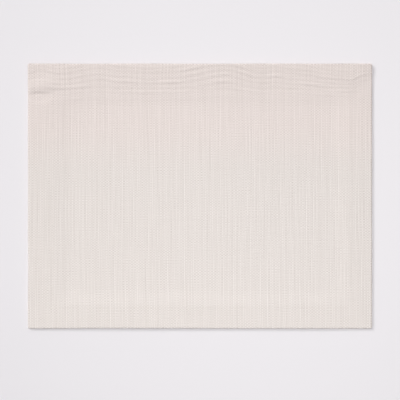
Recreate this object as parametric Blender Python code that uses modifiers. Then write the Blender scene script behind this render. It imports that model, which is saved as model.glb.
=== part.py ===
"""A woven cotton placemat, lying flat, with its four edges turned under as a hem.

Metres, +Z up. +X runs along the long side and +Y towards the far edge, whose hem curls up a
little. The origin is the middle of the footprint, on the table. The mat is one sheet of cloth:
its upper face is shaped first, and its thickness then grows downwards, one layer in the field
and two at the hem, so that the turned edge stands out underneath.
"""

import math
from typing import NamedTuple

import bmesh
import bpy

# Overall size
LENGTH = 0.460
WIDTH = 0.354
CORNER_RADIUS = 0.0024

# The cloth and its hem
CLOTH_THICKNESS = 0.0015
HEM_THICKNESS = 0.0029
FOLD_ROUNDING = 0.0009
# How far inside the hem the cloth takes to settle from the hem's height to the table
SETTLE_REACH = 0.022
# The underside's step at the hem's inner edge
STEP_HALF_WIDTH = 0.0005

# How far from a corner a side takes to lift and waver fully
CORNER_REACH = 0.090

# The far hem's ripples sway as the table SWAY says, less so close to the folded edge
SWAY_FADE = 0.012

# Grid spacing of the upper face
FIELD_CELL_X = 0.0155
FIELD_CELL_Y = 0.0240
RIPPLE_CELL = 0.0028
MARGIN = 0.058

CLOTH_COLOUR = (0.790, 0.742, 0.705, 1.0)
CLOTH_ROUGHNESS = 0.92


class Hem(NamedTuple):
    """One side's hem: how wide it is, and how its outer edge lifts off the table and wavers.

    corner_lift is the share of its lift that a side has at its corners, and waver is how far the
    edge is drawn in at most.
    """

    width: float
    lift: float
    lift_reach: float
    lift_wave: float
    wave_length: float
    corner_lift: float
    waver: float
    waver_length: float
    phase: float


HEMS = {
    "left": Hem(0.0355, 0.0006, 0.050, 0.45, 0.190, 0.0, 0.0006, 0.120, 0.6),
    "right": Hem(0.0308, 0.0007, 0.045, 0.50, 0.160, 0.0, 0.0004, 0.150, 2.1),
    "near": Hem(0.0300, 0.0005, 0.036, 0.60, 0.230, 0.0, 0.0007, 0.460, 3.1),
    "far": Hem(0.0355, 0.0028, 0.038, 0.10, 0.270, 1.0, 0.0004, 0.170, 1.2),
}


class Ripple(NamedTuple):
    """A shallow ridge along the far hem, its crest this far inside the far edge."""

    inset: float
    width: float
    height: float
    patch_length: float
    phase: float


RIPPLES = (
    Ripple(0.0045, 0.0080, 0.00024, 0.140, 0.4),
    Ripple(0.0121, 0.0080, 0.00026, 0.115, 2.4),
    Ripple(0.0195, 0.0076, 0.00030, 0.160, 5.2),
    Ripple(0.0275, 0.0082, 0.00028, 0.130, 1.0),
    Ripple(0.0360, 0.0092, 0.00018, 0.175, 3.6),
    Ripple(0.0458, 0.0104, 0.00010, 0.150, 0.0),
)


class Sway(NamedTuple):
    """How far the ripples shift towards the mat's middle at this distance along it."""

    x: float
    shift: float


SWAY = (
    Sway(-0.230, 0.0020),
    Sway(-0.191, 0.0058),
    Sway(-0.165, 0.0026),
    Sway(-0.127, -0.0020),
    Sway(-0.093, -0.0012),
    Sway(-0.046, -0.0004),
    Sway(-0.020, -0.0013),
    Sway(0.002, 0.0025),
    Sway(0.038, -0.0010),
    Sway(0.078, 0.0010),
    Sway(0.104, -0.0010),
    Sway(0.123, 0.0021),
    Sway(0.162, -0.0020),
    Sway(0.205, 0.0036),
    Sway(0.230, 0.0030),
)


class Pucker(NamedTuple):
    """A soft oval rise, or a hollow where height is negative, turned by this many degrees."""

    x: float
    y: float
    half_length: float
    half_width: float
    turn: float
    height: float


PUCKERS = (
    # The far left corner stands a little proud, with a hollow at the hem's inner edge
    Pucker(-0.192, 0.142, 0.062, 0.050, 0.0, 0.0011),
    Pucker(-0.199, 0.153, 0.017, 0.010, -12.0, 0.0007),
    Pucker(-0.215, 0.137, 0.017, 0.007, 0.0, -0.0010),
    # The far right corner is drawn in along its mitre
    Pucker(0.206, 0.153, 0.040, 0.034, 0.0, 0.0005),
    Pucker(0.213, 0.163, 0.017, 0.0065, 47.0, -0.0009),
)


def smooth_step(value):
    """Rises from 0 to 1 as value does, level at both ends."""
    held = min(1.0, max(0.0, value))
    return held * held * (3.0 - 2.0 * held)


def soft_ramp(value, softness=0.22):
    """Rises from 0 to 1 as value does, easing away from 0 and then straight."""
    held = max(0.0, value)
    return held * held * (1.0 + softness) / (held + softness)


def patchy(distance, length, phase, least=0.25):
    """Between least and 1, coming and going along the hem."""
    return least + (1.0 - least) * 0.5 * (1.0 + math.sin(math.tau * distance / length + phase))


def sway_at(x):
    """The ripples' shift at x, eased between the rows of SWAY."""
    for low, high in zip(SWAY, SWAY[1:]):
        if x <= high.x:
            share = smooth_step((x - low.x) / (high.x - low.x))
            return low.shift + (high.shift - low.shift) * share
    return SWAY[-1].shift


def insets(x, y):
    """The distance of a point from each of the four edges."""
    return {
        "left": x + LENGTH / 2,
        "right": LENGTH / 2 - x,
        "near": y + WIDTH / 2,
        "far": WIDTH / 2 - y,
    }


def in_hem(x, y):
    return any(inset < HEMS[side].width for side, inset in insets(x, y).items())


def along(side, x, y):
    return y if side in ("left", "right") else x


def off_corners(side, x, y):
    """Rises from 0 at the ends of a side to 1 at CORNER_REACH from them."""
    to_corner = WIDTH / 2 - abs(y) if side in ("left", "right") else LENGTH / 2 - abs(x)
    return smooth_step(to_corner / CORNER_REACH)


def ripple_height(x, far_inset):
    """The ridges that run along the far hem."""
    inset = far_inset - sway_at(x) * min(1.0, far_inset / SWAY_FADE)
    height = 0.0
    for ripple in RIPPLES:
        offset = abs(inset - ripple.inset) / ripple.width
        if offset < 0.5:
            ridge = 0.5 + 0.5 * math.cos(math.tau * offset)
            height += ripple.height * ridge * patchy(x, ripple.patch_length, ripple.phase)
    return height


def pucker_height(x, y):
    height = 0.0
    for pucker in PUCKERS:
        turn = math.radians(pucker.turn)
        dx, dy = x - pucker.x, y - pucker.y
        length = (dx * math.cos(turn) + dy * math.sin(turn)) / pucker.half_length
        width = (dy * math.cos(turn) - dx * math.sin(turn)) / pucker.half_width
        height += pucker.height * smooth_step(1.0 - math.hypot(length, width))
    return height


def lift_height(x, y):
    """How far the hems' outer edges stand off the table."""
    height = 0.0
    for side, inset in insets(x, y).items():
        hem = HEMS[side]
        wave = math.sin(math.tau * along(side, x, y) / hem.wave_length + hem.phase)
        lift = hem.lift * (1.0 + hem.lift_wave * wave)
        lift *= hem.corner_lift + (1.0 - hem.corner_lift) * off_corners(side, x, y)
        height += lift * soft_ramp(1.0 - inset / hem.lift_reach)
    return height


def upper_face(x, y):
    """The height of the cloth's upper face."""
    settled = 1.0
    for side, inset in insets(x, y).items():
        settled *= smooth_step((inset - HEMS[side].width) / SETTLE_REACH)
    resting = HEM_THICKNESS + (CLOTH_THICKNESS - HEM_THICKNESS) * settled
    thickness = HEM_THICKNESS if in_hem(x, y) else CLOTH_THICKNESS
    folds = lift_height(x, y) + ripple_height(x, insets(x, y)["far"]) + pucker_height(x, y)
    return max(thickness, resting + folds)


def waver(x, y):
    """Draws a point in so that the edges aren't ruled straight, less so inside the hem."""
    drawn = {}
    for side, inset in insets(x, y).items():
        hem = HEMS[side]
        wave = patchy(along(side, x, y), hem.waver_length, hem.phase, least=0.0)
        here = off_corners(side, x, y) * smooth_step(1.0 - inset / MARGIN)
        drawn[side] = hem.waver * wave * here
    return x + drawn["left"] - drawn["right"], y + drawn["near"] - drawn["far"]


def round_corner(x, y):
    """Draws the points near a corner onto its arc."""
    beyond_x = abs(x) - (LENGTH / 2 - CORNER_RADIUS)
    beyond_y = abs(y) - (WIDTH / 2 - CORNER_RADIUS)
    if beyond_x <= 0.0 or beyond_y <= 0.0:
        return x, y
    across, up = beyond_x / CORNER_RADIUS, beyond_y / CORNER_RADIUS
    beyond_x *= math.sqrt(1.0 - up * up / 2)
    beyond_y *= math.sqrt(1.0 - across * across / 2)
    return (
        math.copysign(LENGTH / 2 - CORNER_RADIUS + beyond_x, x),
        math.copysign(WIDTH / 2 - CORNER_RADIUS + beyond_y, y),
    )


def evenly(start, end, cell):
    """Marks from just after start up to end, about a cell apart."""
    count = max(1, round((end - start) / cell))
    return [start + (end - start) * (i + 1) / count for i in range(count)]


def margin_marks(hem, hem_cell, inner_cell):
    """Distances from one edge at which the grid has a line, out to MARGIN."""
    marks = [0.0, CORNER_RADIUS / 2, CORNER_RADIUS]
    marks += evenly(CORNER_RADIUS, hem.width - STEP_HALF_WIDTH, hem_cell)
    marks += [hem.width + STEP_HALF_WIDTH]
    marks += evenly(hem.width + STEP_HALF_WIDTH, MARGIN, inner_cell)
    return marks


def grid_lines(size, low_marks, high_marks, field_cell):
    """Every line across one direction: both margins and the field between them."""
    low = [mark - size / 2 for mark in low_marks]
    high = [size / 2 - mark for mark in reversed(high_marks)]
    return low + evenly(low[-1], high[0], field_cell)[:-1] + high


def make_face():
    """The upper face, as a grid whose lines are drawn together where the cloth bends."""
    columns = grid_lines(
        LENGTH,
        margin_marks(HEMS["left"], 0.0065, 0.0085),
        margin_marks(HEMS["right"], 0.0065, 0.0085),
        FIELD_CELL_X,
    )
    rows = grid_lines(
        WIDTH,
        margin_marks(HEMS["near"], 0.0095, 0.0095),
        margin_marks(HEMS["far"], RIPPLE_CELL, RIPPLE_CELL),
        FIELD_CELL_Y,
    )
    bpy.ops.mesh.primitive_grid_add(
        x_subdivisions=len(columns) - 1, y_subdivisions=len(rows) - 1, size=2.0
    )
    cloth = bpy.context.object
    cloth.name = cloth.data.name = "placemat_cloth"
    mesh = bmesh.new()
    mesh.from_mesh(cloth.data)
    hem_points = []
    for point in mesh.verts:
        column = round((point.co.x + 1.0) / 2.0 * (len(columns) - 1))
        row = round((point.co.y + 1.0) / 2.0 * (len(rows) - 1))
        x, y = columns[column], rows[row]
        if in_hem(x, y):
            hem_points.append(point.index)
        height = upper_face(x, y)
        point.co = (*waver(*round_corner(x, y)), height)
    mesh.to_mesh(cloth.data)
    mesh.free()
    cloth.vertex_groups.new(name="hem").add(hem_points, 1.0, "REPLACE")
    return cloth


def centre_on_origin(cloth):
    """Puts the middle of the thickened cloth's footprint over the origin."""
    bpy.context.view_layer.update()
    box = cloth.evaluated_get(bpy.context.evaluated_depsgraph_get()).bound_box
    for axis in (0, 1):
        middle = (min(corner[axis] for corner in box) + max(corner[axis] for corner in box)) / 2
        for point in cloth.data.vertices:
            point.co[axis] -= middle


def thicken(cloth):
    """One layer in the field, two in the hem, then the rounded fold of the outer edge."""
    layers = cloth.modifiers.new("layers", "SOLIDIFY")
    layers.thickness = HEM_THICKNESS
    layers.offset = -1.0
    layers.vertex_group = "hem"
    layers.thickness_vertex_group = CLOTH_THICKNESS / HEM_THICKNESS
    fold = cloth.modifiers.new("fold", "BEVEL")
    fold.width = FOLD_ROUNDING
    fold.segments = 2
    fold.limit_method = "ANGLE"
    fold.angle_limit = math.radians(65)


def make_material():
    """Undyed off-white cotton, matt, with a faint warm tint."""
    material = bpy.data.materials.new("oatmeal cotton")
    material.use_nodes = True
    shader = material.node_tree.nodes["Principled BSDF"]
    shader.inputs["Base Color"].default_value = CLOTH_COLOUR
    shader.inputs["Roughness"].default_value = CLOTH_ROUGHNESS
    shader.inputs["Metallic"].default_value = 0.0
    return material


def main():
    for old in list(bpy.data.objects):
        bpy.data.objects.remove(old, do_unlink=True)
    collection = bpy.data.collections.new("fabric_placemat")
    bpy.context.scene.collection.children.link(collection)
    cloth = make_face()
    thicken(cloth)
    centre_on_origin(cloth)
    cloth.data.shade_smooth()
    cloth.data.set_sharp_from_angle(angle=math.radians(50))
    cloth.data.materials.append(make_material())
    for owner in list(cloth.users_collection):
        owner.objects.unlink(cloth)
    collection.objects.link(cloth)


main()
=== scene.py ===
import math
from collections import namedtuple

import bpy
import numpy as np
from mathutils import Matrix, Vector


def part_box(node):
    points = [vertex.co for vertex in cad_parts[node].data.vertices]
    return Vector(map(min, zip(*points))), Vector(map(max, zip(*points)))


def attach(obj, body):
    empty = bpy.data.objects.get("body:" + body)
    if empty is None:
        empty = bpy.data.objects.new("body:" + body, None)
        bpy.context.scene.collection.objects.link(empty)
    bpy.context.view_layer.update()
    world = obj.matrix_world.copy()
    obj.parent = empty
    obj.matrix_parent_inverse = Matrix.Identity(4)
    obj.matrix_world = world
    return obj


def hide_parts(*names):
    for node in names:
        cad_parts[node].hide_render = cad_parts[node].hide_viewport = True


# A woven cotton placemat, hemmed all round, lying on a table.
# Metres; +X runs along the mat, +Y to the far edge, whose hem curls up a little, +Z up.

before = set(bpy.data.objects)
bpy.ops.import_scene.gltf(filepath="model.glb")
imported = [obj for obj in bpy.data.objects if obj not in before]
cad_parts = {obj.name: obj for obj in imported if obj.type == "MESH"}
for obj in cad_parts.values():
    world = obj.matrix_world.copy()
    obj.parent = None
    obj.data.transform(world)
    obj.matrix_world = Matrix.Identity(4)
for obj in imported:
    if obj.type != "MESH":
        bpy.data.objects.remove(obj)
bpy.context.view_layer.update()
lowCorner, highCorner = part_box("placemat_cloth")
length = highCorner.x - lowCorner.x
width = highCorner.y - lowCorner.y
sides = ("near", "right", "far", "left")  # the order in which the rings below go round


# The yarns are drawn about twice as coarse as real ones, which would be too fine to show
cloth = {
    "warpPitch": 0.00227,  # between neighbouring yarns that run up the mat
    "weftPitch": 0.00174,  # between neighbouring yarns that run along it
    "layer": 0.0015,  # one thickness of the cloth
    "doubled": 0.0029,  # two, where the hem is turned under
    "foldDepth": 0.0008,  # how far in the turned edge is rounded over
    "rim": 0.00040,  # the upper face's last yarn lies this far inside the outline
    "cornerRadius": 0.0024,
    "settle": 0.022,  # inside the hem, the cloth takes this far to come down to the table
    "cornerReach": 0.090,  # how far from a corner a side takes to lift and waver fully
    "margin": 0.058,  # how far in the wavering of an edge is felt
    "rippleSkew": 0.6,  # at 1 a far ridge's side away from the edge is as steep as can be
    "swayNear": 1.10,  # near the edge the far ridges sway by this share of the list below
    "swayDeep": 0.45,  # and by this share well inside it
    "swayStart": 0.014,  # this far in, the one starts to give way to the other
    "swayReach": 0.028,  # and takes this far to do so
    "loopOut": 0.00012,  # every other yarn's loop stands out of the fold by this, the rest lie in
    "mitreHollow": 0.0007,  # where two hems meet at a corner, underneath
    "stillYarns": 8.0,  # this many next to an edge stray less, and the last not at all
    "hemBlend": 0.003,  # the hem's painted shade fades out over this, at its inner edge
    "crossingRise": 0.00029,  # a yarn's back above the gaps between yarns
    "warpRise": 0.00006,  # the thicker warp rides higher than the weft
    "slubRise": 0.00030,  # more where a yarn is spun thick
    "slubLength": 26.0,  # how many wefts a thick place lasts
    "gapDepth": 0.00015,  # the gaps lie this far below the even face
}

# Each side: its hem's width; how far its edge lifts off the table, how far in that is felt, by
# what share and over what length it comes and goes, and what share is left at the corners; and
# how far the edge is drawn in, which comes and goes as well
edgeRow = namedtuple(
    "edgeRow", "hem lift liftReach liftWave waveLength cornerLift waver waverLength phase"
)
edges = {
    "left": edgeRow(0.0355, 0.0006, 0.050, 0.45, 0.190, 0.0, 0.0003, 0.120, 0.6),
    "right": edgeRow(0.0308, 0.0002, 0.045, 0.20, 0.160, 0.0, 0.0002, 0.150, 2.1),
    "near": edgeRow(0.0300, 0.0005, 0.036, 0.25, 0.230, 0.0, 0.0003, 0.460, 3.1),
    "far": edgeRow(0.0355, 0.0028, 0.038, 0.10, 0.270, 1.0, 0.0003, 0.170, 1.2),
}

# The far hem's shallow ridges, from the edge inwards: where each runs, counted from the edge, and
# how high it is all along. The outermost is on the cloth only where they sway inwards
rippleRow = namedtuple("rippleRow", "inset width height")
ripples = (
    rippleRow(-0.0043, 0.0070, 0.00027),
    rippleRow(0.0015, 0.0074, 0.00032),
    rippleRow(0.0068, 0.0080, 0.00032),
    rippleRow(0.0146, 0.0082, 0.00032),
    rippleRow(0.0218, 0.0082, 0.00032),
    rippleRow(0.0291, 0.0082, 0.00027),
    rippleRow(0.0357, 0.0082, 0.00018),
    rippleRow(0.0447, 0.0096, 0.00012),
)

# Where a ridge (by its place in the list above, from 0) stands higher still: about this middle,
# as far as reach to each side
crestRow = namedtuple("crestRow", "ripple middle reach height")
crests = (
    crestRow(1, -0.181, 0.034, 0.00023),
    crestRow(1, -0.107, 0.030, 0.00023),
    crestRow(1, -0.072, 0.026, 0.00023),
    crestRow(1, -0.036, 0.016, 0.00023),
    crestRow(1, 0.135, 0.030, 0.00034),
    crestRow(2, -0.230, 0.014, 0.00029),
    crestRow(2, -0.188, 0.028, 0.00029),
    crestRow(2, -0.056, 0.014, 0.00023),
    crestRow(2, -0.012, 0.024, 0.00057),
    crestRow(2, 0.052, 0.020, 0.00046),
    crestRow(2, 0.170, 0.046, 0.00034),
    crestRow(2, 0.209, 0.018, 0.00040),
    crestRow(3, -0.010, 0.026, 0.00029),
    crestRow(3, 0.064, 0.024, 0.00057),
    crestRow(3, 0.101, 0.018, 0.00052),
    crestRow(4, -0.101, 0.028, 0.00057),
    crestRow(4, -0.038, 0.026, 0.00057),
    crestRow(4, 0.026, 0.026, 0.00034),
    crestRow(4, 0.084, 0.014, 0.00029),
    crestRow(4, 0.148, 0.022, 0.00069),
    crestRow(5, -0.190, 0.024, 0.00057),
    crestRow(5, -0.162, 0.022, 0.00046),
    crestRow(5, 0.030, 0.024, 0.00069),
    crestRow(5, 0.194, 0.018, 0.00029),
    crestRow(6, -0.217, 0.022, 0.00032),
    crestRow(6, -0.066, 0.070, 0.00023),
    crestRow(6, 0.058, 0.028, 0.00034),
    crestRow(7, -0.166, 0.012, 0.00023),
)

# Places along the mat, and how far the ridges sway towards its middle there
sway = (
    (-0.230, 0.0034),
    (-0.214, 0.0),
    (-0.191, 0.0036),
    (-0.134, -0.0033),
    (-0.107, 0.0010),
    (-0.067, 0.0028),
    (-0.040, 0.0013),
    (0.033, -0.0068),
    (0.084, 0.0028),
    (0.101, 0.0007),
    (0.121, 0.0038),
    (0.203, 0.0121),
    (0.215, 0.0060),
    (0.230, 0.0040),
)

# Soft oval rises, or hollows where height is negative, turned by this many degrees
puckerRow = namedtuple("puckerRow", "x y halfLength halfWidth turn height")
puckers = (
    puckerRow(-0.192, 0.142, 0.062, 0.050, 0.0, 0.0011),  # the far left corner stands proud
    puckerRow(-0.203, 0.151, 0.026, 0.012, -8.0, 0.0011),
    puckerRow(-0.218, 0.145, 0.026, 0.013, 0.0, 0.0014),
    puckerRow(-0.216, 0.1335, 0.021, 0.011, 0.0, -0.0017),  # with a hollow at its hem
    puckerRow(0.206, 0.153, 0.040, 0.034, 0.0, 0.0005),  # the far right corner is drawn in
    puckerRow(0.236, 0.150, 0.040, 0.080, 0.0, -0.0018),  # and hangs lower than the edge beside it
)

# The sewing: one line of stitches all round, just outside the hem's inner edge
sewing = {
    "fromHemEdge": 0.0020,
    "pitch": 0.0034,
    "stitchLength": 0.0027,
    "threadWidth": 0.00042,
    "sunk": 0.00020,
    "troughDepth": 0.00008,  # the stitches pull the cloth down along their line
    "troughWidth": 0.0050,
    "linePoints": 140,  # along each side of that line
}


def smoothStep(value):
    held = np.clip(value, 0.0, 1.0)
    return held * held * (3.0 - 2.0 * held)


def softRamp(value):  # from 0 at 0 to 1 at 1, with a soft start
    softness = 0.22
    held = np.maximum(value, 0.0)
    return held * held * (1.0 + softness) / (held + softness)


def softNoise(u, v, seed):  # smooth, between -1 and 1, new at each whole number
    cells = 256
    lattice = np.random.default_rng(seed).uniform(-1.0, 1.0, (cells, cells))
    i, j = np.floor(u).astype(int), np.floor(v).astype(int)
    s, t = smoothStep(u - i), smoothStep(v - j)
    i, nextI, j, nextJ = i % cells, (i + 1) % cells, j % cells, (j + 1) % cells
    low = lattice[i, j] * (1 - s) + lattice[nextI, j] * s
    high = lattice[i, nextJ] * (1 - s) + lattice[nextI, nextJ] * s
    return low * (1 - t) + high * t


def insetsOf(x, y):
    return {
        "near": y + width / 2,
        "right": length / 2 - x,
        "far": width / 2 - y,
        "left": x + length / 2,
    }


def alongOf(side, x, y):
    return y if side in ("left", "right") else x


def offCorners(side, x, y):  # 0 at the ends of a side, 1 well away from them
    toCorner = width / 2 - abs(y) if side in ("left", "right") else length / 2 - abs(x)
    return smoothStep(toCorner / cloth["cornerReach"])


def swayAt(x):
    places, shifts = np.array(sway).T
    after = np.clip(np.searchsorted(places, x), 1, len(places) - 1)
    share = smoothStep((x - places[after - 1]) / (places[after] - places[after - 1]))
    return shifts[after - 1] + (shifts[after] - shifts[after - 1]) * share


def liftAt(x, y):
    height = 0.0
    for side, inset in insetsOf(x, y).items():
        edge = edges[side]
        wave = np.sin(math.tau * alongOf(side, x, y) / edge.waveLength + edge.phase)
        lift = edge.lift * (1.0 + edge.liftWave * wave)
        lift = lift * (edge.cornerLift + (1.0 - edge.cornerLift) * offCorners(side, x, y))
        height = height + lift * softRamp(1.0 - inset / edge.liftReach)
    return height


def rippleAt(x, y):
    farInset = width / 2 - y
    deep = smoothStep((farInset - cloth["swayStart"]) / cloth["swayReach"])
    share = cloth["swayNear"] + (cloth["swayDeep"] - cloth["swayNear"]) * deep
    inset = farInset - swayAt(x) * share
    height = 0.0
    for number, ripple in enumerate(ripples):
        offset = np.clip((inset - ripple.inset) / ripple.width, -0.5, 0.5)
        offset = offset - cloth["rippleSkew"] * (0.25 - offset * offset)
        ridge = 0.5 + 0.5 * np.cos(math.tau * offset)
        crest = ripple.height
        for row in crests:
            if row.ripple == number:
                crest = crest + row.height * smoothStep(1.0 - abs(x - row.middle) / row.reach)
        height = height + crest * ridge
    return height


def puckerAt(x, y):
    height = 0.0
    for pucker in puckers:
        turn = math.radians(pucker.turn)
        dx, dy = x - pucker.x, y - pucker.y
        lengthwise = (dx * math.cos(turn) + dy * math.sin(turn)) / pucker.halfLength
        crosswise = (dy * math.cos(turn) - dx * math.sin(turn)) / pucker.halfWidth
        height = height + pucker.height * smoothStep(1.0 - np.hypot(lengthwise, crosswise))
    return height


def troughAt(x, y):  # the line that the stitches press in
    insets = insetsOf(x, y)
    beyond = [insets[side] - edges[side].hem + sewing["fromHemEdge"] for side in sides]
    fromLine = abs(np.minimum.reduce(beyond))
    offset = np.minimum(fromLine / sewing["troughWidth"], 0.5)
    return -sewing["troughDepth"] * (0.5 + 0.5 * np.cos(math.tau * offset))


def upperHeight(x, y):  # the cloth's upper face, before the weave's relief
    settled = 1.0
    inHem = False
    for side, inset in insetsOf(x, y).items():
        settled = settled * smoothStep((inset - edges[side].hem) / cloth["settle"])
        inHem = inHem | (inset < edges[side].hem)
    resting = cloth["doubled"] + (cloth["layer"] - cloth["doubled"]) * settled
    thickness = np.where(inHem, cloth["doubled"], cloth["layer"])
    folds = liftAt(x, y) + rippleAt(x, y) + puckerAt(x, y)
    return np.maximum(thickness, resting + folds)


def foldDrop(x, y):  # how far the rounding of the turned edge falls below the upper face
    nearest = np.minimum.reduce(list(insetsOf(x, y).values()))
    share = np.clip(1.0 - nearest / cloth["foldDepth"], 0.0, 1.0)
    return cloth["doubled"] / 2 * (1.0 - np.sqrt(1.0 - share * share))


def outlined(x, y):  # rounds the corners, then draws the edges in so that they aren't ruled
    radius = cloth["cornerRadius"]
    beyondX = np.maximum(abs(x) - (length / 2 - radius), 0.0)
    beyondY = np.maximum(abs(y) - (width / 2 - radius), 0.0)
    roundX = beyondX * np.sqrt(1.0 - (beyondY / radius) ** 2 / 2)
    roundY = beyondY * np.sqrt(1.0 - (beyondX / radius) ** 2 / 2)
    x = x + np.sign(x) * (roundX - beyondX)
    y = y + np.sign(y) * (roundY - beyondY)
    drawn = {}
    for side, inset in insetsOf(x, y).items():
        edge = edges[side]
        wave = np.sin(math.tau * alongOf(side, x, y) / edge.waverLength + edge.phase)
        fade = offCorners(side, x, y) * smoothStep(1.0 - inset / cloth["margin"])
        drawn[side] = edge.waver * 0.5 * (1.0 + wave) * fade
    return x + drawn["left"] - drawn["right"], y + drawn["near"] - drawn["far"]


# The cloth is one closed mesh
coarseStep = 7  # the underside has one point for this many yarns
across = coarseStep * round(length / cloth["warpPitch"] / coarseStep)
upwards = coarseStep * round(width / cloth["weftPitch"] / coarseStep)
islandGap = 0.01  # round each island of the bake's map
outwards = 0.001  # on that map, the fold's outer line lies this far outside its real place
ringStep = 0.0001  # and each ring at least this far inside the one before
lower, upper = slice(None, -1), slice(1, None)
cellCorners = ((lower, lower), (lower, upper), (upper, upper), (upper, lower))  # of a grid's cells

# Rings of points, from the fold's outer line round under the mat and in to its middle. Each lies
# inside the outline by its share of the hem's width and its inset, and above the underside of the
# doubled or the single cloth by its rise. turned is 1 where the weave carries on round the fold,
# and -1 where it lies as on top
ringRow = namedtuple("ringRow", "hemShare inset base rise turned")
layer, doubled = cloth["layer"], cloth["doubled"]
turnedTop = 0.0014  # the upper side of the layer that is turned under
coverFace = 0.0015  # the lower side of the layer above it, a hair higher
foldRings = (
    ringRow(0, 0.0, "doubled", doubled / 2, 1),
    ringRow(0, cloth["rim"], "doubled", 0.00042, 1),
    ringRow(0, cloth["foldDepth"], "doubled", 0.0, 1),
)
underRings = (
    ringRow(0.24, 0.0, "doubled", 0.0, 1),  # the hem, turned under
    ringRow(0.43, 0.0, "doubled", 0.0, 1),
    ringRow(0.62, 0.0, "doubled", 0.0, 1),
    ringRow(0.81, 0.0, "doubled", 0.0, 1),
    ringRow(1, -0.0004, "doubled", 0.0, 1),  # round its inner edge
    ringRow(1, 0.0, "doubled", turnedTop / 2, 1),
    ringRow(1, -0.0004, "doubled", turnedTop, 1),
    ringRow(0.81, 0.0, "doubled", turnedTop, 1),  # back out between the layers
    ringRow(0.43, 0.0, "doubled", turnedTop, 1),
    ringRow(0, 0.0028, "doubled", turnedTop, 1),
    ringRow(0, 0.0022, "doubled", (turnedTop + coverFace) / 2, -1),
    ringRow(0, 0.0028, "doubled", coverFace, -1),
    ringRow(0.43, 0.0, "doubled", coverFace, -1),  # in again, under the upper layer
    ringRow(0.81, 0.0, "doubled", coverFace, -1),
    ringRow(1, 0.0, "doubled", coverFace, -1),
    ringRow(1, 0.004, "single", 0.0, -1),  # and down to the table
    ringRow(1, 0.012, "single", 0.0, -1),
    ringRow(1, 0.024, "single", 0.0, -1),
)


def planAt(a, b, inset):  # a and b run from 0 to 1 across what is left inside the insets
    x = -length / 2 + inset["left"] + a * (length - inset["left"] - inset["right"])
    y = -width / 2 + inset["near"] + b * (width - inset["near"] - inset["far"])
    return x, y


def sameInset(inset):
    return {side: inset for side in sides}


def ringInset(row):
    return {side: row.hemShare * edges[side].hem + row.inset for side in sides}


def yarnsAt(x, y):  # counts of yarns from the near left corner of the upper face
    u = (x + length / 2 - cloth["rim"]) / (length - 2 * cloth["rim"]) * across
    v = (y + width / 2 - cloth["rim"]) / (width - 2 * cloth["rim"]) * upwards
    return u, v


def onIsland(x, y, isUnder):  # the upper face fills the bake's map, the underside the strip left
    scale = (1.0 - 2 * islandGap) / (length + 4 * outwards)
    upperTop = 2 * islandGap + scale * (width + 4 * outwards)
    if isUnder:
        scale = (1.0 - islandGap - upperTop) / (width + 4 * outwards)
    u = islandGap + scale * (x + length / 2 + 2 * outwards)
    v = islandGap + scale * (y + width / 2 + 2 * outwards)
    return np.stack((u, v + (upperTop - islandGap if isUnder else 0.0)), -1)


def ringShares(shares):  # a and b of each point round a ring, counter-clockwise from above
    still = np.zeros(len(shares))
    a = np.concatenate((shares, still + 1.0, 1.0 - shares, still))
    b = np.concatenate((still, shares, still + 1.0, 1.0 - shares))
    return a, b


def bySide(places):  # a ring's places, one row for each side, up to the next side's first
    rows = places.reshape(4, -1, 2)
    return np.concatenate((rows, np.roll(rows, -1, axis=0)[:, :1]), axis=1)


# How the yarns stray from their even places: along the mat (x) or up it (y), as far as reach, and
# anew after about this many warps and wefts
strayRow = namedtuple("strayRow", "axis reach warps wefts seed")
strays = (
    strayRow("x", 0.000204, 1.6, 34.0, 3),  # single warps
    strayRow("x", 0.000136, 1.2, 300.0, 4),
    strayRow("y", 0.00030, 38.0, 5.0, 5),  # a few wefts together
    strayRow("x", 0.0012, 22.0, 45.0, 6),  # whole bands of yarns
    strayRow("y", 0.0012, 30.0, 28.0, 7),
)


def strayed(u, v, x, y):  # moves the upper face's points as the yarns stray, none at the edges
    free = smoothStep(np.minimum.reduce([u, across - u, v, upwards - v]) / cloth["stillYarns"])
    shift = {"x": 0.0, "y": 0.0}
    for row in strays:
        noise = softNoise(u / row.warps, v / row.wefts, row.seed)
        shift[row.axis] = shift[row.axis] + row.reach * noise
    return x + shift["x"] * free, y + shift["y"] * free


class SheetMesh:
    # Gathers points, faces and each face corner's place in the weave and on the bake's map
    def __init__(self):
        self.points, self.yarns, self.count = [], [], 0
        self.faces, self.weave, self.bake = [], [], []

    def addPoints(self, x, y, z, u, v, free):  # free is 0 where the weave's relief is left out
        first = self.count
        self.points.append(np.stack((x, y, z), -1).reshape(-1, 3))
        self.yarns.append(np.stack((u, v, np.broadcast_to(free, u.shape)), -1).reshape(-1, 3))
        self.count += x.size
        return np.arange(first, self.count)

    def addFaces(self, faces, weave, bake):
        self.faces += faces.reshape(-1, faces.shape[-1]).tolist()
        self.weave.append(weave.reshape(-1, 2))
        self.bake.append(bake.reshape(-1, 2))


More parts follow.
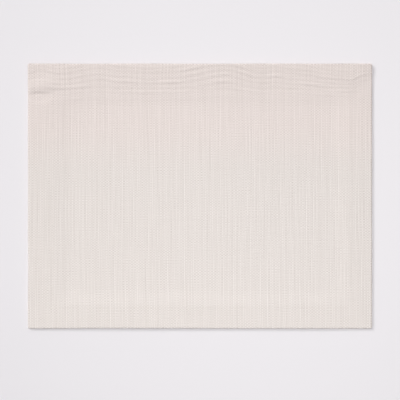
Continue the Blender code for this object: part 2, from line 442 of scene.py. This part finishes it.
def addUpperFace(sheet):  # four triangles to a crossing, from its middle to the gaps round it
    rim = sameInset(cloth["rim"])
    found = {}
    for name, offset, extra in (("gaps", 0.0, 1), ("crossings", 0.5, 0)):
        warps, wefts = np.arange(across + extra) + offset, np.arange(upwards + extra) + offset
        u, v = np.meshgrid(warps, wefts)
        planX, planY = planAt(u / across, v / upwards, rim)
        x, y = outlined(*strayed(u, v, planX, planY))
        z = upperHeight(planX, planY) + troughAt(planX, planY) - foldDrop(planX, planY)
        onRim = (u == 0) | (v == 0) | (u == across) | (v == upwards)
        points = sheet.addPoints(x, y, z, u, v, np.where(onRim, 0.0, 1.0)).reshape(u.shape)
        found[name] = (points, np.stack((u, v), -1), onIsland(planX, planY, False))
    gaps, gapWeave, gapBake = found["gaps"]
    middles, middleWeave, middleBake = found["crossings"]
    for first, second in zip(cellCorners, cellCorners[1:] + cellCorners[:1]):
        faces = np.stack((gaps[first], gaps[second], middles), -1)
        weave = np.stack((gapWeave[first], gapWeave[second], middleWeave), -2)
        bake = np.stack((gapBake[first], gapBake[second], middleBake), -2)
        sheet.addFaces(faces, weave, bake)
    return np.concatenate((gaps[0, :-1], gaps[:-1, -1], gaps[-1, :0:-1], gaps[:0:-1, 0]))


def addRing(sheet, row, shares, drawnInset):  # drawnInset is its place on the bake's map
    inset = ringInset(row)
    a, b = ringShares(shares)
    planX, planY = planAt(a, b, inset)
    thickness = doubled if row.base == "doubled" else layer
    z = np.maximum(upperHeight(planX, planY) - thickness, 0.0) + row.rise
    if row.hemShare > 0 and row.turned > 0 and row.rise == 0:
        z[:: len(shares)] += cloth["mitreHollow"]
    x, y = outlined(planX, planY)
    if row is foldRings[0]:
        loops = cloth["loopOut"] * np.cos(math.pi * np.arange(len(a)))
        x = x + loops * np.where((a == 0) | (a == 1), np.sign(a - 0.5), 0.0)
        y = y + loops * np.where((b == 0) | (b == 1), np.sign(b - 0.5), 0.0)
    u, v = yarnsAt(planX, planY)
    points = sheet.addPoints(x, y, z, u, v, 0.0)
    # Across each side, the weave's place is where the cloth would be if its hem were let down:
    # outside the outline by reach
    weave = bySide(np.stack((u, v), -1))
    for index, side in enumerate(sides):
        reach = row.turned * inset[side]
        if row.turned > 0:
            reach += doubled / 2 - min(row.rise, doubled / 2)
        if side in ("near", "far"):
            axis, pitch, total = 1, width / upwards, upwards
        else:
            axis, pitch, total = 0, length / across, across
        weave[index, :, axis] = -reach / pitch if side in ("near", "left") else total + reach / pitch
    return points, weave, bySide(onIsland(*planAt(a, b, drawnInset), True))


def joinRings(sheet, outer, inner):  # quads between two rings of as many points
    (outerPoints, *outerPlaces), (innerPoints, *innerPlaces) = outer, inner
    nextOuter, nextInner = np.roll(outerPoints, -1), np.roll(innerPoints, -1)
    faces = np.stack((outerPoints, innerPoints, nextInner, nextOuter), -1)
    weave, bake = [
        np.stack((out[:, :-1], into[:, :-1], into[:, 1:], out[:, 1:]), -2)
        for out, into in zip(outerPlaces, innerPlaces)
    ]
    sheet.addFaces(faces, weave, bake)


def fanRings(sheet, outer, inner, picks):  # triangles from a fine ring to a coarser one
    stops = [*picks, len(outer[0]) // 4]
    faces, weave, bake = [], [], []
    for side in range(4):
        for k in range(len(picks)):
            middle = (stops[k] + stops[k + 1]) // 2
            triangles = []
            for q in range(stops[k], stops[k + 1]):
                triangles.append(((outer, q), (inner, k if q < middle else k + 1), (outer, q + 1)))
            triangles.append(((outer, middle), (inner, k), (inner, k + 1)))
            for triangle in triangles:
                face = []
                for (points, ringWeave, ringBake), index in triangle:
                    face.append(points[(side * (len(points) // 4) + index) % len(points)])
                    weave.append(ringWeave[side, index])
                    bake.append(ringBake[side, index])
                faces.append(face)
    sheet.addFaces(np.array(faces), np.array(weave), np.array(bake))


def addMiddle(sheet, row, ring, shares):  # closes the underside inside its last ring
    a, b = np.meshgrid(np.append(shares, 1.0), np.append(shares, 1.0))
    planX, planY = planAt(a, b, ringInset(row))
    z = np.maximum(upperHeight(planX, planY) - layer, 0.0)
    x, y = outlined(planX, planY)
    u, v = yarnsAt(planX, planY)
    points = np.zeros(a.shape, int)
    inside = (slice(1, -1), slice(1, -1))
    added = sheet.addPoints(*[values[inside] for values in (x, y, z, u, v)], 0.0)
    points[inside] = added.reshape(points[inside].shape)
    near, right, far, left = np.split(ring, 4)
    points[0, :-1], points[:-1, -1] = near, right
    points[-1, :0:-1], points[:0:-1, 0] = far, left
    downwards = cellCorners[:1] + cellCorners[:0:-1]
    faces, weave, bake = [
        np.stack([values[corner] for corner in downwards], 2)
        for values in (points, np.stack((u, v), -1), onIsland(planX, planY, True))
    ]
    sheet.addFaces(faces, weave, bake)


def makeCloth():
    sheet = SheetMesh()
    rimPoints = addUpperFace(sheet)
    fineShares = np.arange(across) / across
    rimPlan = planAt(*ringShares(fineShares), sameInset(cloth["rim"]))
    rim = (rimPoints, bySide(np.stack(yarnsAt(*rimPlan), -1)), bySide(onIsland(*rimPlan, False)))
    # The fold's outer line is on both islands of the bake's map: the upper face ends there
    drawn = sameInset(-outwards)
    outerBake = bySide(onIsland(*planAt(*ringShares(fineShares), drawn), False))
    rings = [addRing(sheet, foldRings[0], fineShares, drawn)]
    joinRings(sheet, rim, (*rings[0][:2], outerBake))

    # The underside's points lie under every seventh yarn, and one yarn in from each corner
    picks = sorted({*range(0, across, coarseStep), 1, across - 1})
    coarseShares = np.array(picks) / across
    for row in foldRings[1:] + underRings:
        drawn = {side: max(ringInset(row)[side], drawn[side] + ringStep) for side in sides}
        shares = fineShares if row in foldRings else coarseShares
        rings.append(addRing(sheet, row, shares, drawn))
        if row is underRings[0]:
            fanRings(sheet, rings[-2], rings[-1], picks)
        else:
            joinRings(sheet, rings[-2], rings[-1])
    addMiddle(sheet, underRings[-1], rings[-1][0], coarseShares)

    points = np.concatenate(sheet.points)
    mesh = bpy.data.meshes.new("placematCloth")
    mesh.from_pydata(points.tolist(), [], sheet.faces)
    for name, places in (("OFBake", sheet.bake), ("weave", sheet.weave)):
        uvMap = mesh.uv_layers.new(name=name)
        uvMap.uv.foreach_set("vector", np.concatenate(places).astype(np.float32).ravel())
    yarns = mesh.attributes.new("yarns", "FLOAT_VECTOR", "POINT")
    yarns.data.foreach_set("vector", np.concatenate(sheet.yarns).astype(np.float32).ravel())
    # The hem's mask, soft at its inner edge, carries the hem's painted shade
    insets = insetsOf(points[:, 0], points[:, 1])
    fromHem = np.minimum.reduce([insets[side] - edges[side].hem for side in sides])
    inHem = smoothStep(0.5 - fromHem / cloth["hemBlend"])
    hemmed = mesh.attributes.new("hemmed", "FLOAT", "POINT")
    hemmed.data.foreach_set("value", inHem.astype(np.float32))
    mesh.shade_smooth()
    placed = bpy.data.objects.new("placematCloth", mesh)
    bpy.context.scene.collection.objects.link(placed)
    print("cloth:", len(mesh.vertices), "points,", len(mesh.polygons), "faces")
    return placed


def addNode(tree, kind, *values, named=None, give=0, **settings):
    # Values fill the inputs in order, and named ones by name: a value, or the output to link
    node = tree.nodes.new(kind)
    for name, value in settings.items():
        setattr(node, name, value)
    for socket, value in [*enumerate(values), *(named or {}).items()]:
        if isinstance(value, bpy.types.NodeSocket):
            tree.links.new(value, node.inputs[socket])
        else:
            node.inputs[socket].default_value = value
    return node.outputs[give] if node.outputs else node


def linearOf(hexColour):
    parts = [int(hexColour[i : i + 2], 16) / 255 for i in (1, 3, 5)]
    return (*[c / 12.92 if c <= 0.04045 else ((c + 0.055) / 1.055) ** 2.4 for c in parts], 1.0)


def runNodes(piece, tree, values):  # runs a Geometry Nodes tree and keeps the result as the mesh
    modifier = piece.modifiers.new(tree.name, "NODES")
    modifier.node_group = tree
    for item in tree.interface.items_tree:
        if item.item_type == "SOCKET" and item.in_out == "INPUT" and item.name in values:
            modifier[item.identifier] = values[item.name]
    graph = bpy.context.evaluated_depsgraph_get()
    seen = piece.evaluated_get(graph)
    mesh = bpy.data.meshes.new_from_object(seen, preserve_all_data_layers=True, depsgraph=graph)
    piece.modifiers.remove(modifier)
    old = piece.data
    piece.data = mesh
    bpy.data.meshes.remove(old)
    mesh.name = piece.name


def startTree(name, inputs):  # a Geometry Nodes tree with named inputs: name, kind, value
    tree = bpy.data.node_groups.new(name, "GeometryNodeTree")
    tree.interface.new_socket("Geometry", in_out="INPUT", socket_type="NodeSocketGeometry")
    for label, kind, value in inputs:
        socket = tree.interface.new_socket(label, in_out="INPUT", socket_type=kind)
        if value is not None:
            socket.default_value = value
    tree.interface.new_socket("Geometry", in_out="OUTPUT", socket_type="NodeSocketGeometry")
    return tree, tree.nodes.new("NodeGroupInput").outputs


def endTree(tree, geometry, material):
    realized = addNode(tree, "GeometryNodeRealizeInstances", geometry)
    dressed = addNode(tree, "GeometryNodeSetMaterial", realized, named={"Material": material})
    addNode(tree, "NodeGroupOutput", dressed)


yarnStep = 3.7  # noise is read this far apart for neighbouring yarns, so that each has its own

# Plain weave: each crossing's back stands up, the warp a little more than the weft, the gaps
# between yarns lie low, and places where a warp is spun thick stand higher still
def makeWeaveTree():
    tree, given = startTree(
        "weaveRelief",
        (
            ("Crossing Rise", "NodeSocketFloat", cloth["crossingRise"]),
            ("Warp Rise", "NodeSocketFloat", cloth["warpRise"]),
            ("Slub Rise", "NodeSocketFloat", cloth["slubRise"]),
            ("Slub Length", "NodeSocketFloat", cloth["slubLength"]),
            ("Gap Depth", "NodeSocketFloat", cloth["gapDepth"]),
            ("Cloth", "NodeSocketMaterial", None),
        ),
    )
    yarns = addNode(tree, "GeometryNodeInputNamedAttribute", "yarns", data_type="FLOAT_VECTOR")
    halfTurns = addNode(tree, "ShaderNodeVectorMath", yarns, (math.pi,) * 3, operation="MULTIPLY")
    sines = addNode(tree, "ShaderNodeVectorMath", halfTurns, operation="SINE")
    u, v, free = addNode(tree, "ShaderNodeSeparateXYZ", yarns, give=slice(3))
    sineU, sineV = addNode(tree, "ShaderNodeSeparateXYZ", sines, give=slice(2))
    # over is 1 where the warp is on top, -1 where the weft is, and 0 in a gap
    over = addNode(tree, "ShaderNodeMath", sineU, sineV, operation="MULTIPLY")
    dome = addNode(tree, "ShaderNodeMath", over, over, operation="MULTIPLY")
    warp = addNode(tree, "ShaderNodeMath", u, operation="FLOOR")
    apart = addNode(tree, "ShaderNodeMath", warp, yarnStep, operation="MULTIPLY")
    along = addNode(tree, "ShaderNodeMath", v, given["Slub Length"], operation="DIVIDE")
    slubPlace = addNode(tree, "ShaderNodeCombineXYZ", apart, along)
    slub = addNode(tree, "ShaderNodeTexNoise", slubPlace, named={"Scale": 1.0, "Detail": 1.0})
    thick = addNode(tree, "ShaderNodeMath", slub, 0.5, operation="SUBTRACT")
    slubRise, rise, warpRise = given["Slub Rise"], given["Crossing Rise"], given["Warp Rise"]
    back = addNode(tree, "ShaderNodeMath", thick, slubRise, rise, operation="MULTIPLY_ADD")
    domed = addNode(tree, "ShaderNodeMath", dome, back, operation="MULTIPLY")
    height = addNode(tree, "ShaderNodeMath", over, warpRise, domed, operation="MULTIPLY_ADD")
    lowered = addNode(tree, "ShaderNodeMath", height, given["Gap Depth"], operation="SUBTRACT")
    relief = addNode(tree, "ShaderNodeMath", lowered, free, operation="MULTIPLY")
    offset = addNode(tree, "ShaderNodeCombineXYZ", 0.0, 0.0, relief)
    raised = addNode(tree, "GeometryNodeSetPosition", given["Geometry"], named={"Offset": offset})
    endTree(tree, raised, given["Cloth"])
    return tree


# Lockstitches: a short rounded bar of thread at each step along the hem's sewing line
def makeStitchTree():
    tree, given = startTree(
        "hemStitches",
        (
            ("Stitch Pitch", "NodeSocketFloat", sewing["pitch"]),
            ("Stitch Length", "NodeSocketFloat", sewing["stitchLength"]),
            ("Thread Width", "NodeSocketFloat", sewing["threadWidth"]),
            ("Thread", "NodeSocketMaterial", None),
        ),
    )
    line = addNode(tree, "GeometryNodeMeshToCurve", given["Geometry"])
    pitch = {"Length": given["Stitch Pitch"]}
    steps = addNode(tree, "GeometryNodeResampleCurve", line, named=pitch, mode="LENGTH")
    segments, rings, radius = 6, 5, 0.5
    bar = addNode(tree, "GeometryNodeMeshUVSphere", segments, rings, radius)
    tangent = addNode(tree, "GeometryNodeInputTangent")
    turn = addNode(tree, "FunctionNodeAlignRotationToVector", named={"Vector": tangent}, axis="X")
    thick = given["Thread Width"]
    scale = addNode(tree, "ShaderNodeCombineXYZ", given["Stitch Length"], thick, thick)
    shape = {"Points": steps, "Instance": bar, "Rotation": turn, "Scale": scale}
    placed = addNode(tree, "GeometryNodeInstanceOnPoints", named=shape)
    endTree(tree, placed, given["Thread"])
    return tree


# Slub cotton, plain-woven and undyed: matt and off-white with a faint warm tint. To the eye it
# is a field of fine dots, lighter where the thicker warp is on top, crossed by thin upright
# streaks where a warp is spun thick, or thin with painted shade in the gap beside it, and by
# fainter ones along the weft. The doubled hem carries painted shade, the far third painted light.
cotton = {
    "light": "#FAF3EF",
    "dark": "#D8CFC9",
    "roughness": 0.92,
    "gloss": 0.25,
    "sheen": 0.12,  # the fibres' fuzz
    "level": 0.57,  # how far the plain tone lies from dark to light
    "hemPaintedShade": -0.03,  # painted shade: the doubled cloth is drawn darker, for the less light of the pale table that comes through it
    "farPaintedLight": "#FFFBFB",  # painted light: the far third is drawn a shade lighter and faintly rosier, for how the light falls there
    "farPaintedLightLevel": 0.09,
    "farPaintedLightStart": 115.0,  # the painted light comes in from this weft to that one
    "farPaintedLightEnd": 160.0,
    "twistPitch": 0.32,  # of a yarn's width; real plies are finer, but they wouldn't show
    "twistSlant": 1.6,
    "twistDepth": 0.00003,
    "yarnDepth": 0.00018,  # how much the bump rounds each yarn where it lies over the others
    "yarnEnds": 0.4,  # the less, the blunter are the ends of that stretch of yarn
}

# The weave's own pattern: crossings lighter where the warp is on top, painted shade in the slits
# between the warps, and every other warp or weft lighter. Each is uneven, over about this many warps
# and wefts
patternRow = namedtuple("patternRow", "steady uneven warps wefts")
pattern = {
    "crossings": patternRow(0.18, 0.95, 7, 9),
    # painted shade: the slits between warps are drawn darker, more in some places than others
    "paintedSlitShade": patternRow(-0.08, 0.50, 2.2, 60),
    "warpPairs": patternRow(0.0, 0.90, 2.6, 60),
    "weftPairs": patternRow(0.02, 0.60, 5, 8),
}

# Uneven tones: each lasts for about this many warps across and wefts along; at 0 every yarn
# has its own
toneRow = namedtuple("toneRow", "warps wefts shade seed")
tones = (
    toneRow(0, 60, 0.10, 10.0),
    toneRow(0, 200, 0.05, 5.0),
    toneRow(16, 0, 0.08, 8.0),
    toneRow(30, 36, 0.03, 3.0),
)


def makeCotton():
    material = bpy.data.materials.new("slubCotton")
    material.use_nodes = True
    tree = material.node_tree
    tree.nodes.clear()
    weave = addNode(tree, "ShaderNodeUVMap", uv_map="weave")
    halfTurns = addNode(tree, "ShaderNodeVectorMath", weave, (math.pi,) * 3, operation="MULTIPLY")
    sines = addNode(tree, "ShaderNodeVectorMath", halfTurns, operation="SINE")
    yarnNumbers = addNode(tree, "ShaderNodeVectorMath", weave, operation="FLOOR")
    u, v = addNode(tree, "ShaderNodeSeparateXYZ", weave, give=slice(2))
    sineU, sineV = addNode(tree, "ShaderNodeSeparateXYZ", sines, give=slice(2))
    warp, weft = addNode(tree, "ShaderNodeSeparateXYZ", yarnNumbers, give=slice(2))
    # over is 1 where the warp is on top, -1 where the weft is, and 0 in a gap; paintedSlitShade is 1
    # between two warps, where the painted shade goes, and -1 along the back of one
    over = addNode(tree, "ShaderNodeMath", sineU, sineV, operation="MULTIPLY")
    ridge = addNode(tree, "ShaderNodeMath", sineU, sineU, operation="MULTIPLY")
    paintedSlitShade = addNode(tree, "ShaderNodeMath", ridge, -2.0, 1.0, operation="MULTIPLY_ADD")

    tone = cotton["level"]
    waves = {"crossings": over, "paintedSlitShade": paintedSlitShade, "warpPairs": sineU, "weftPairs": sineV}
    for name, wave in waves.items():
        row = pattern[name]
        scale = (1 / row.warps, 1 / row.wefts, 0.0)
        place = addNode(tree, "ShaderNodeVectorMath", weave, scale, operation="MULTIPLY")
        noise = addNode(tree, "ShaderNodeTexNoise", place, named={"Scale": 1.0, "Detail": 1.0})
        centred = addNode(tree, "ShaderNodeMath", noise, 0.5, operation="SUBTRACT")
        strength = (centred, row.uneven, row.steady)
        shade = addNode(tree, "ShaderNodeMath", *strength, operation="MULTIPLY_ADD")
        tone = addNode(tree, "ShaderNodeMath", wave, shade, tone, operation="MULTIPLY_ADD")
    for row in tones:
        acrossWarps = (warp, yarnStep) if row.warps == 0 else (u, 1.0 / row.warps)
        acrossWefts = (weft, yarnStep) if row.wefts == 0 else (v, 1.0 / row.wefts)
        x = addNode(tree, "ShaderNodeMath", *acrossWarps, operation="MULTIPLY")
        y = addNode(tree, "ShaderNodeMath", *acrossWefts, operation="MULTIPLY")
        place = addNode(tree, "ShaderNodeCombineXYZ", x, y, row.seed)
        noise = addNode(tree, "ShaderNodeTexNoise", place, named={"Scale": 1.0, "Detail": 1.0})
        centred = addNode(tree, "ShaderNodeMath", noise, 0.5, operation="SUBTRACT")
        tone = addNode(tree, "ShaderNodeMath", centred, row.shade, tone, operation="MULTIPLY_ADD")
    # Painted shade over the doubled hem
    hemmed = addNode(tree, "ShaderNodeAttribute", give="Fac", attribute_name="hemmed")
    # Painted light over the far third, lighter and faintly rosy
    span = (cotton["farPaintedLightStart"], cotton["farPaintedLightEnd"])
    farPaintedLight = addNode(tree, "ShaderNodeMapRange", v, *span, interpolation_type="SMOOTHSTEP")
    for part, shade in ((hemmed, cotton["hemPaintedShade"]), (farPaintedLight, cotton["farPaintedLightLevel"])):
        tone = addNode(tree, "ShaderNodeMath", part, shade, tone, operation="MULTIPLY_ADD")
    shades = {6: linearOf(cotton["dark"]), 7: linearOf(cotton["light"])}
    plain = addNode(tree, "ShaderNodeMix", tone, named=shades, give=2, data_type="RGBA")
    tints = {6: plain, 7: linearOf(cotton["farPaintedLight"])}
    colour = addNode(
        tree, "ShaderNodeMix", farPaintedLight, named=tints, give=2, data_type="RGBA", blend_type="MULTIPLY"
    )

    # The bump is the plies' twist, slanting across whichever yarn is on top
    turns = math.tau / cotton["twistPitch"]
    twists = []
    for first, second in ((v, u), (u, v)):
        slanting = (first, cotton["twistSlant"], second)
        slant = addNode(tree, "ShaderNodeMath", *slanting, operation="MULTIPLY_ADD")
        angle = addNode(tree, "ShaderNodeMath", slant, turns, operation="MULTIPLY")
        twists.append(addNode(tree, "ShaderNodeMath", angle, operation="SINE"))
    isWarp = addNode(tree, "ShaderNodeMath", over, 0.0, operation="GREATER_THAN")
    twist = addNode(tree, "ShaderNodeMix", isWarp, named={2: twists[1], 3: twists[0]})
    height = addNode(tree, "ShaderNodeMath", twist, cotton["twistDepth"], operation="MULTIPLY")

    # And each yarn rounded across, with blunt ends where it goes under its neighbours
    backs = []
    for acrossYarn, alongYarn in ((sineV, sineU), (sineU, sineV)):
        rounded = addNode(tree, "ShaderNodeMath", acrossYarn, operation="ABSOLUTE")
        stretch = addNode(tree, "ShaderNodeMath", alongYarn, operation="ABSOLUTE")
        blunt = addNode(tree, "ShaderNodeMath", stretch, cotton["yarnEnds"], operation="POWER")
        backs.append(addNode(tree, "ShaderNodeMath", rounded, blunt, operation="MULTIPLY"))
    back = addNode(tree, "ShaderNodeMix", isWarp, named={2: backs[0], 3: backs[1]})
    depth = cotton["yarnDepth"]
    height = addNode(tree, "ShaderNodeMath", back, depth, height, operation="MULTIPLY_ADD")
    relief = {"Strength": 1.0, "Distance": 1.0, "Height": height}
    bump = addNode(tree, "ShaderNodeBump", named=relief)
    look = {
        "Roughness": cotton["roughness"],
        "Sheen Weight": cotton["sheen"],
        "Specular IOR Level": cotton["gloss"],
        "Normal": bump,
    }
    shader = addNode(tree, "ShaderNodeBsdfPrincipled", colour, named=look)
    addNode(tree, "ShaderNodeOutputMaterial", shader)
    return material


# Cotton sewing thread, spun and matched to the cloth: a little smoother and brighter than its
# yarns, with a faint slanting twist whose grooves carry painted shade
thread = {
    "colour": "#F1EAE5",
    # shade is painted shade, drawn in the grooves between the plies
    "shade": "#DDD4CE",
    "roughness": 0.78,
    "sheen": 0.1,
    "plies": 0.0008,  # from one ply to the next; real ones are finer, but they wouldn't show
    "unevenness": 0.6,
    "plyBump": 0.3,
    "plyDepth": 0.0001,
}


def makeThread():
    material = bpy.data.materials.new("cottonThread")
    material.use_nodes = True
    tree = material.node_tree
    tree.nodes.clear()
    place = addNode(tree, "ShaderNodeTexCoord", give="Object")
    bands = {"Scale": 1.0 / thread["plies"] / math.tau, "Distortion": thread["unevenness"]}
    plies = addNode(
        tree, "ShaderNodeTexWave", place, named=bands, give=1, bands_direction="DIAGONAL"
    )
    # Painted shade in the grooves between the plies, where the bump is low
    shades = {6: linearOf(thread["shade"]), 7: linearOf(thread["colour"])}
    colour = addNode(tree, "ShaderNodeMix", plies, named=shades, give=2, data_type="RGBA")
    relief = {"Strength": thread["plyBump"], "Distance": thread["plyDepth"], "Height": plies}
    bump = addNode(tree, "ShaderNodeBump", named=relief)
    look = {"Roughness": thread["roughness"], "Sheen Weight": thread["sheen"], "Normal": bump}
    shader = addNode(tree, "ShaderNodeBsdfPrincipled", colour, named=look)
    addNode(tree, "ShaderNodeOutputMaterial", shader)
    return material


def makeStitches(name, isUnder, material, tree):
    inset = {side: edges[side].hem - sewing["fromHemEdge"] for side in sides}
    a, b = ringShares(np.arange(sewing["linePoints"]) / sewing["linePoints"])
    planX, planY = planAt(a, b, inset)
    x, y = outlined(planX, planY)
    if isUnder:
        face = np.maximum(upperHeight(planX, planY) - doubled, 0.0)
    else:
        weave = cloth["crossingRise"] / 2 - cloth["gapDepth"]
        face = upperHeight(planX, planY) + troughAt(planX, planY) + weave - sewing["sunk"]
    z = face + sewing["threadWidth"] / 2
    mesh = bpy.data.meshes.new(name)
    count = len(a)
    around = [(i, (i + 1) % count) for i in range(count)]
    mesh.from_pydata(np.stack((x, y, z), -1).tolist(), around, [])
    stitches = bpy.data.objects.new(name, mesh)
    bpy.context.scene.collection.objects.link(stitches)
    runNodes(stitches, tree, {"Thread": material})
    stitches.data.shade_smooth()
    print(name + ":", len(stitches.data.polygons), "faces")
    return stitches


studio = {
    "floorDark": "#E6E3E6",
    "floorLight": "#F6F3F6",
    "floorSlope": (0.5, 1.2, 0.0),  # how much of the way from dark to light it goes in a metre
    "floorSize": 6.0,
    "floorDrop": 0.0001,  # so that the mat's underside doesn't lie in it
    "floorRoughness": 0.9,
    "floorGloss": 0.1,
    "ambient": 0.43,
    "frameWidth": 0.5349,  # what the photo's frame takes in at table height
    "lens": 200.0,
    "sensor": 36.0,
    "aim": (0.0, -0.0052),
    "clipEnd": 20.0,
}

# A broad light from the far left gives the soft shadow along the right and the near edge, and a
# small one overhead evens out the middle
softboxRow = namedtuple("softboxRow", "name place aim size spread power")
softboxes = (
    softboxRow("overheadSoftbox", (0.0, 0.0, 2.60), (0.06, -0.30, 0.0), 0.7, 50, 2.08),
    softboxRow("keySoftbox", (-3.20, 3.20, 2.90), (0.0, 0.0, 0.0), 1.9, 180, 145.0),
)


# A table top painted matt white: pale, without shine. Its shade changes a little from the near
# left to the far right, which evens out the lights' fall-off
def makeFloor():
    floorPlace = (0.0, 0.0, -studio["floorDrop"])
    bpy.ops.mesh.primitive_plane_add(size=studio["floorSize"], location=floorPlace)
    floor = bpy.context.object
    floor.name = "tableTop"
    material = bpy.data.materials.new("paleTable")
    material.use_nodes = True
    tree = material.node_tree
    tree.nodes.clear()
    place = addNode(tree, "ShaderNodeTexCoord", give="Object")
    slope = addNode(
        tree, "ShaderNodeVectorMath", place, studio["floorSlope"], give=1, operation="DOT_PRODUCT"
    )
    tone = addNode(tree, "ShaderNodeMath", slope, 0.5, operation="ADD")
    shades = {6: linearOf(studio["floorDark"]), 7: linearOf(studio["floorLight"])}
    colour = addNode(tree, "ShaderNodeMix", tone, named=shades, give=2, data_type="RGBA")
    look = {"Roughness": studio["floorRoughness"], "Specular IOR Level": studio["floorGloss"]}
    shader = addNode(tree, "ShaderNodeBsdfPrincipled", colour, named=look)
    addNode(tree, "ShaderNodeOutputMaterial", shader)
    floor.data.materials.append(material)


def addSoftbox(row):
    light = bpy.data.lights.new(row.name, "AREA")
    light.shape = "SQUARE"
    light.size = row.size
    light.spread = math.radians(row.spread)
    light.energy = row.power
    lamp = bpy.data.objects.new(row.name, light)
    lamp.location = row.place
    lamp.rotation_euler = (Vector(row.aim) - Vector(row.place)).to_track_quat("-Z", "Y").to_euler()
    lamp.visible_camera = False
    bpy.context.scene.collection.objects.link(lamp)


def makeStudio():
    makeFloor()
    for row in softboxes:
        addSoftbox(row)
    world = bpy.data.worlds.new("studioAir")
    world.use_nodes = True
    background = world.node_tree.nodes["Background"].inputs
    background["Color"].default_value = (1.0, 1.0, 1.0, 1.0)
    background["Strength"].default_value = studio["ambient"]
    bpy.context.scene.world = world
    camera = bpy.data.cameras.new("overheadCamera")
    camera.lens = studio["lens"]
    camera.sensor_width = studio["sensor"]
    camera.clip_end = studio["clipEnd"]
    stand = bpy.data.objects.new("overheadCamera", camera)
    height = studio["frameWidth"] * studio["lens"] / studio["sensor"]
    stand.location = (*studio["aim"], height)
    bpy.context.scene.collection.objects.link(stand)
    bpy.context.scene.camera = stand
    bpy.context.scene.view_settings.view_transform = "Standard"
    bpy.context.scene.cycles.denoising_prefilter = "NONE"  # or the weave's dots are smoothed away
    print("studio: floor,", len(softboxes), "softboxes, camera at", round(height, 3), "m")


cottonMaterial = makeCotton()
threadMaterial = makeThread()
print("materials:", cottonMaterial.name, "and", threadMaterial.name)
mat = makeCloth()
runNodes(mat, makeWeaveTree(), {"Cloth": cottonMaterial})
print("weave:", len(mat.data.polygons), "faces")
stitchTree = makeStitchTree()
upperStitches = makeStitches("hemStitchesUpper", False, threadMaterial, stitchTree)
lowerStitches = makeStitches("hemStitchesLower", True, threadMaterial, stitchTree)
makeStudio()

for piece in (mat, upperStitches, lowerStitches):
    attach(piece, "root")
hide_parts("placemat_cloth")
